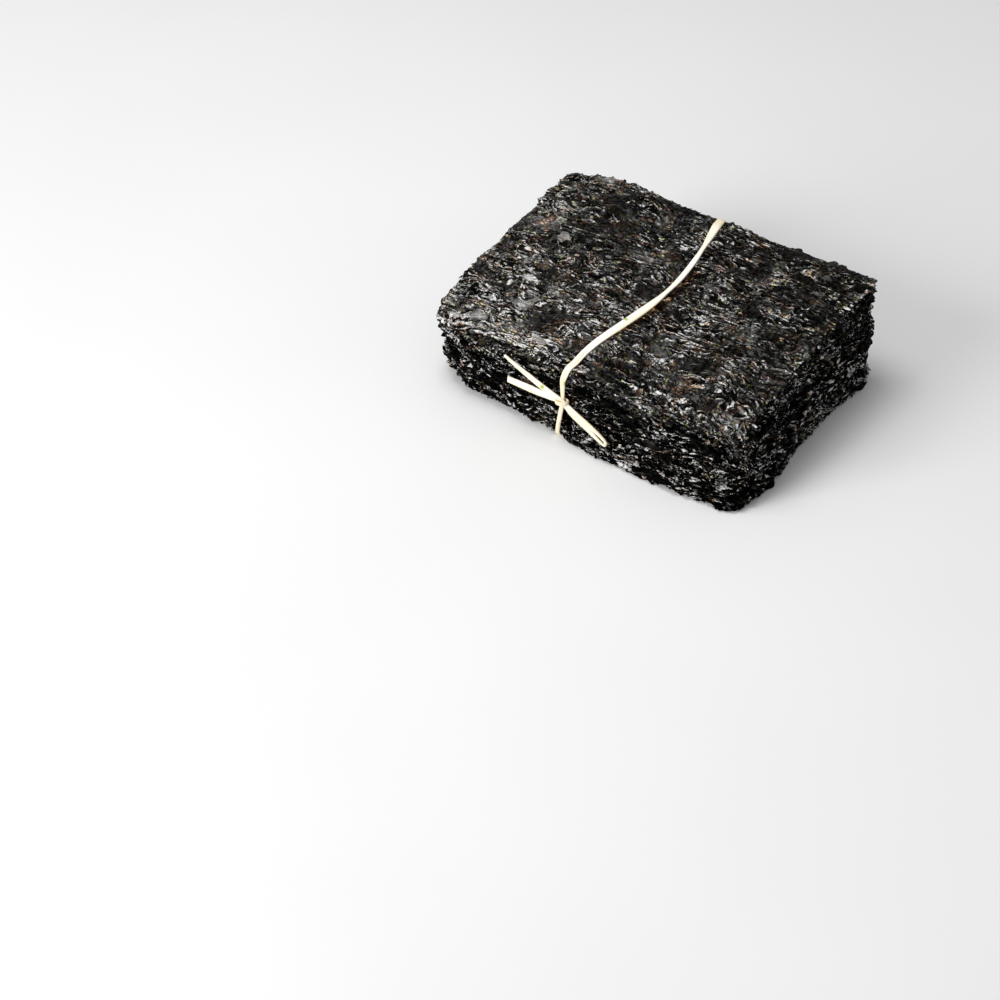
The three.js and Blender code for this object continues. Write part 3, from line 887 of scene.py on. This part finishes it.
def strap_route(stack):
    """Round trip of the straw from the knot: over the top, down the back and below."""
    half_y = SHEET_WIDTH / 2
    front = -half_y - STRAW_OUT
    back = half_y + STRAW_OUT
    low = STRAW_THICKNESS / 2 + 0.5

    def height(x, y):
        return float(stack.top_at(np.array([x, y]) + CENTRE))

    over_top = []
    for v in (-0.93, -0.84, -0.7, -0.45, -0.2, 0, 0.2, 0.4, 0.58, 0.76, 0.92):
        x = straw_side(v * half_y)
        lift = STRAW_LIFT + SHOULDER_LIFT * bell(v, *SHOULDER_PLACE)
        narrow = NARROWING * ease(v, -0.3, 0) * (1 - ease(v, 0.6, 0.88))
        narrow += sum(share * bell(v, place, PINCH_LENGTH) for place, share in PINCHES)
        over_top.append((x, v * half_y, height(x, v * half_y) + lift, STRAW_WIDTH * (1 - narrow)))
    below = []
    for v in (0.98, 0.9, 0.7, 0, -0.7, -0.9, -0.98):
        below.append((mix(*UNDER_X, (1 - v) / 2), v * half_y, low, STRAW_WIDTH))
    top_back, top_front = TOP_X
    under_back, under_front = UNDER_X
    front_top = height(top_front, -half_y)
    back_top = height(top_back, half_y)
    route = [
        (KNOT[0], front - 1.5, KNOT[2], 2.8),
        (KNOT[0] - 0.8, front - 0.9, front_top - 10.8, 4.8),
        (KNOT[0] - 0.2, front + 0.4, front_top - 5, 5.8),
        (KNOT[0] + 1.3, front + 3.2, front_top + 0.7, 6.0),
        *over_top,
        (top_back, back - 0.8, back_top - 3, STRAW_WIDTH),
        (-1.2, back, back_top * 0.6, STRAW_WIDTH),
        (-4.4, back, 14, STRAW_WIDTH),
        (under_back, back - 0.6, 4.5, STRAW_WIDTH),
        *below,
        (under_front, front + 0.6, 4.5, NECK_WIDTH),
        (-16, front, 14, NECK_WIDTH),
        (KNOT[0], front - 1.5, KNOT[2] - 0.6, NECK_WIDTH),
    ]
    return np.array(route) + np.append(CENTRE, (0, 0))


def strand_route():
    """A tail, the knot, the loop, the knot again and the other tail, with widths."""
    x, y, z = KNOT
    return np.array([
        (-60, y - 3.2, 61, 2.5), (-50, y - 3, 56, 4.2),
        (-36, y - 2.4, 49.6, 5.4), (-21, y - 1.2, 42.6, 5.2),
        (x, y, z + 0.8, 3.4),
        (-0.2, y - 0.8, 33.0, 4.8), (13.8, y - 1.6, 27.4, 4.6),
        (23.5, y - 2, 23.0, 2.8), (28, y - 2.2, 19.2, 2.5), (25.6, y - 2, 16.8, 2.6),
        (12.2, y - 0.8, 22.9, 4.6), (-1.8, y - 0.2, 30.1, 4.8),
        (x, y, z - 0.8, 3.4),
        (-22, y - 1.0, 38.6, 4.8), (-38, y - 2.2, 39.4, 6.2), (-57, y - 3.0, 40, 6.2),
    ])


def tanned(shape, share):
    """The shape with a share of the folds' tone in its colours."""
    part = np.broadcast_to(share, len(shape.points))[:, None]
    return shape._replace(colours=mix(shape.colours, STRAW_FOLD, part))


def make_straw(bed, material):
    """Strap, wrap of the knot, and the strand that makes the loop and the tails."""
    strap = straw_shape(bed.path, ACROSS, bed.width, STRAW_THICKNESS)
    back = ease(strap.points[:, 1], 82, 95) * ease(strap.points[:, 2], 66, 80)
    front = ease(-strap.points[:, 1], 90, 97)
    strap = tanned(strap, BACK_TAN * back + FRONT_TAN * front)

    centre = np.append(CENTRE, 0)
    turn = np.linspace(0, 2 * np.pi, WRAP_STEPS)
    path = KNOT + centre + WRAP_SIZE * np.stack([np.cos(turn), np.sin(turn), np.cos(turn)], 1)
    wrap = straw_shape(path, UPWARD, np.full(WRAP_STEPS, WRAP_WIDTH), WRAP_THICKNESS)
    wrap = tanned(wrap, WRAP_TAN)

    path, width = smooth_path(strand_route() + np.append(centre, 0), 0.9)
    width = width * (1 + 0.06 * soft_noise((len(path),), (14,)))
    strand = straw_shape(path, np.array([0.25, 0, 1.0]), width, STRAND_THICKNESS)
    strand = tanned(strand, LOOP_TAN * ease(strand.points[:, 0], KNOT[0], KNOT[0] + 10))
    shape = join_shapes([strap, wrap, strand])
    for speck in SPECKS:
        near = np.linalg.norm(shape.points - speck, axis=1) < SPECK_SIZE
        shape.colours[near] = SPECK_TONE
    return new_piece("straw_strands", shape, material)


class Nodes:
    """Node tree of a material or of the room."""

    def __init__(self, owner, shader="Principled BSDF"):
        owner.use_nodes = True
        self.owner = owner
        self.tree = owner.node_tree
        self.shader = self.tree.nodes[shader]

    def add(self, kind, inputs=(), **settings):
        """A new node, with inputs given by name or in order."""
        node = self.tree.nodes.new("ShaderNode" + kind)
        for key, value in settings.items():
            setattr(node, key, value)
        for key, value in inputs.items() if isinstance(inputs, dict) else enumerate(inputs):
            self.fill(node.inputs[key], value)
        return node

    def fill(self, socket, value):
        if isinstance(value, bpy.types.NodeSocket):
            self.tree.links.new(value, socket)
        else:
            socket.default_value = value

    def place(self):
        return self.add("TexCoord").outputs["Object"]

    def noise(self, vector, scale, detail, distortion=0.0, output="Fac"):
        inputs = {"Vector": vector, "Scale": scale, "Detail": detail, "Distortion": distortion}
        return self.add("TexNoise", inputs).outputs[output]

    def between(self, value, low, high, start=0.3, stop=0.7):
        """A noise from start to stop, spread between two values."""
        return self.add("MapRange", (value, start, stop, low, high)).outputs["Result"]

    def math(self, operation, *values):
        return self.add("Math", values, operation=operation).outputs["Value"]

    def vector(self, operation, *values, output="Vector"):
        return self.add("VectorMath", values, operation=operation).outputs[output]

    def dot(self, first, second):
        return self.vector("DOT_PRODUCT", first, second, output="Value")

    def layers(self, vector, scale, count, lean):
        """Film laid over film, each from 0 to 1 at its edge."""
        folds = self.math("MULTIPLY", self.noise(vector, scale, 1, 0.8), count)
        return self.math("FRACT", self.math("ADD", folds, self.dot(vector, lean)))

    def stir(self, vector, scale, reach):
        """Places that a soft noise has moved about."""
        shift = self.vector("SUBTRACT", self.noise(vector, scale, 1, output="Color"), MIDDLE)
        return self.vector("MULTIPLY_ADD", shift, (reach, reach, reach), vector)

    def cells(self, vector, scale):
        """Cells side by side, each with a random colour and the place of its middle."""
        return self.add("TexVoronoi", {"Vector": vector, "Scale": scale}).outputs

    def flakes(self, vector, scale):
        """Height of flakes that slope their own ways, and their random colours."""
        cells = self.cells(vector, scale)
        colour = cells["Color"]
        away = self.vector("SUBTRACT", vector, cells["Position"])
        slope = self.dot(away, self.vector("SUBTRACT", colour, MIDDLE))
        level = self.between(self.dot(colour, (1, 0, 0)), 0.2, 0.8, 0, 1)
        return self.math("MULTIPLY_ADD", slope, 2.2 * scale, level), colour

    def recolour(self, colour, other, share):
        """A colour that becomes another where a share is 1."""
        return self.add("MixRGB", (share, colour, other)).outputs["Color"]

    def tone(self, factor):
        """The piece's own colours, lighter and darker by a factor."""
        tone = self.add("VertexColor", layer_name="tone").outputs["Color"]
        return self.vector("MULTIPLY", tone, factor)

    def bump(self, height, strength, distance):
        inputs = {"Strength": strength, "Distance": distance, "Height": height}
        return self.add("Bump", inputs).outputs["Normal"]

    def finish(self, **inputs):
        for key, value in inputs.items():
            self.fill(self.shader.inputs[key.replace("_", " ")], value)
        return self.owner


def nori_material(
    name, contrast, clouds, grain, lean, film_share, film_light, roughness, specular, relief, stains=1.0
):
    """Dried laver: short flakes among films, with painted highlights on their raised edges and painted
    shade below them, and brown and olive stains.
    """
    nodes = Nodes(bpy.data.materials.new(name))
    place = nodes.place()
    drawn = nodes.vector("MULTIPLY", place, grain)
    for scale, reach in STIRS:
        drawn = nodes.stir(drawn, scale, reach)
    strokes = nodes.math("MULTIPLY", nodes.layers(drawn, STROKE_SCALE, STROKE_COUNT, lean), STROKE_SHARE)
    flakes, colour = nodes.flakes(drawn, FLAKE_SCALE)
    height = nodes.math("ADD", strokes, nodes.math("MULTIPLY", flakes, 1 - STROKE_SHARE))
    speck = nodes.between(nodes.noise(place, SPECK_SCALE, 2), -0.15, 0.15)
    power = nodes.math("ADD", nodes.math("SUBTRACT", height, 0.5), speck)
    kind = nodes.cells(drawn, FILM_SCALE)["Color"]
    film = nodes.between(nodes.dot(kind, (0, 0, 1)), 0, 1, 1 - film_share, 1.02 - film_share)
    pale = nodes.between(nodes.dot(kind, (1, 0, 0)), -0.3, film_light, 0.4, 1)
    depth = nodes.between(nodes.noise(drawn, STROKE_SCALE, 2), 0.3 * contrast, 1.35 * contrast)
    depth = nodes.math("MULTIPLY", depth, nodes.between(film, 1.0, 0.3, 0, 1))
    cloud = nodes.between(nodes.noise(place, CLOUD_SCALE, 3), -clouds, clouds)
    cloud = nodes.math("MULTIPLY_ADD", film, pale, cloud)
    # brighter where the pattern is higher: painted highlights on the films' edges and the flakes' high
    # sides, painted shade below them
    light = nodes.math("EXPONENT", nodes.math("MULTIPLY_ADD", power, depth, cloud))
    rust = nodes.between(nodes.noise(place, RUST_SCALE, 2), -0.5, 0.5)
    rust = nodes.math("ADD", nodes.dot(colour, (0, 1, 0)), rust)
    tint = nodes.recolour(PLAIN, BROWN, nodes.between(rust, 0, stains, 0.65, 0.95))
    olive = nodes.between(nodes.noise(place, OLIVE_SCALE, 2, 0.5), 0, stains, 0.605, 0.65)
    tint = nodes.recolour(tint, OLIVE, olive)
    stained = nodes.vector("MULTIPLY", nodes.tone(light), tint)
    gloss = nodes.between(nodes.noise(place, GLOSS_SCALE, 2), roughness - 0.1, roughness + 0.1)
    return nodes.finish(
        Base_Color=nodes.vector("MINIMUM", stained, BRIGHTEST),
        Roughness=gloss,
        Specular_IOR_Level=specular,
        Normal=nodes.bump(height, 1.0, relief * MM),
    )


def straw_material():
    """Dry cream straw with fine fibres along it."""
    nodes = Nodes(bpy.data.materials.new("straw"))
    place = nodes.place()
    fibre = nodes.noise(place, 1100, 3)
    gloss = nodes.between(nodes.noise(place, 300, 2), 0.42, 0.6)
    return nodes.finish(
        Base_Color=nodes.tone(nodes.between(fibre, 0.93, 1.05)),
        Roughness=gloss,
        Specular_IOR_Level=0.4,
        Normal=nodes.bump(fibre, 0.3, 0.3 * MM),
    )


def make_floor():
    """Plain pale floor."""
    half = 3.0
    corners = [(-half, -half, 0), (half, -half, 0), (half, half, 0), (-half, half, 0)]
    mesh = bpy.data.meshes.new("floor")
    mesh.from_pydata(corners, [], [(0, 1, 2, 3)])
    nodes = Nodes(bpy.data.materials.new("floor"))
    tint = nodes.between(nodes.noise(nodes.place(), 3, 2), 0.80, 0.83)
    mesh.materials.append(nodes.finish(Base_Color=tint, Roughness=0.85))
    floor = add_object("floor", mesh)


def make_light(name, place, size, power):
    """Square soft light that looks at the bundle."""
    light = bpy.data.lights.new(name, "AREA")
    light.size = size
    light.energy = power
    lamp = add_object(name, light)
    lamp.location = place
    lamp.rotation_euler = (Vector((0, 0, 0.05)) - Vector(place)).to_track_quat("-Z", "Y").to_euler()


def make_lights():
    """Soft lights above and at the front left, in a pale room."""
    make_light("top", (-0.3, -0.2, 1.6), 0.7, 11)
    make_light("front", (-1.0, -2.0, 1.1), 1.2, 45)
    nodes = Nodes(bpy.data.worlds.new("room"), "Background")
    direction = nodes.add("TexCoord").outputs["Generated"]
    strength = nodes.between(nodes.dot(direction, UPWARD), 0.88, 0.4, 0.02, 0.3)
    bpy.context.scene.world = nodes.finish(Color=PLAIN, Strength=strength)
    bpy.context.scene.view_settings.view_transform = "Standard"


def make_camera():
    """Camera at the photograph's place and angle."""
    camera = bpy.data.cameras.new("camera")
    camera.sensor_width = SENSOR
    camera.lens = FOCAL_PIXELS / IMAGE_PIXELS * SENSOR
    turn = Matrix.Identity(3)
    for angle, axis in CAMERA_TURNS:
        turn = turn @ Matrix.Rotation(math.radians(angle), 3, axis)
    holder = add_object("camera", camera)
    holder.location = CAMERA_PLACE * MM
    holder.rotation_euler = turn.to_euler()
    bpy.context.scene.camera = holder


def dress(pieces, node):
    """Puts pieces in the place of a solid."""
    for piece in pieces:
        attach(piece, "root")
        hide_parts(node)


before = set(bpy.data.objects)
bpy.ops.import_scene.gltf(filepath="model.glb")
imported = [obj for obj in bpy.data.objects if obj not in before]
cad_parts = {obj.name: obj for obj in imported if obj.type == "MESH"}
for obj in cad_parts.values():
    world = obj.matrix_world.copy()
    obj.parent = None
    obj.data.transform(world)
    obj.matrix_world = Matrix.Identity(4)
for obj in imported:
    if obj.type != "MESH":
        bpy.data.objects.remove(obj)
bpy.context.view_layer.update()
make_camera()
make_lights()
make_floor()

stack = Stack(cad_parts["nori_bundle"])
bed = Bed(stack)
top_grain = {"grain": (0.47, 1.0, 1.0), "lean": (0, 270, 0), "roughness": 0.4}
nori_top = nori_material(
    "nori_top", contrast=10.2, clouds=1.0, film_share=0.2, film_light=1.7, specular=0.04, relief=0.4,
    **top_grain)
nori_film = nori_material(
    "nori_film", contrast=2.2, clouds=0.3, film_share=0, film_light=0, specular=0.08, relief=0.2,
    stains=0.2, **top_grain)
nori_side = nori_material(
    "nori_side", contrast=22.0, clouds=1.5, film_share=0.08, film_light=4.0, specular=0.025, relief=0.4,
    grain=(0.33, 0.33, 1.4), lean=(0, 0, 280), roughness=0.5)
top_piece, top_sheet = make_top_sheet(stack, bed, nori_top)
nori_pieces = [make_core(stack, nori_side), top_piece, *make_sheets(stack, bed, nori_side)]
nori_pieces.append(make_top_flakes(top_sheet, bed, nori_top))
nori_pieces.append(make_top_patches(top_sheet, bed, nori_film))
nori_pieces += make_side_flakes(stack, bed, nori_side)
straw_piece = make_straw(bed, straw_material())
nori_pieces.append(make_rim_flakes(stack, bed, nori_top))
dress(nori_pieces, "nori_bundle")
dress([straw_piece], "straw_tie")
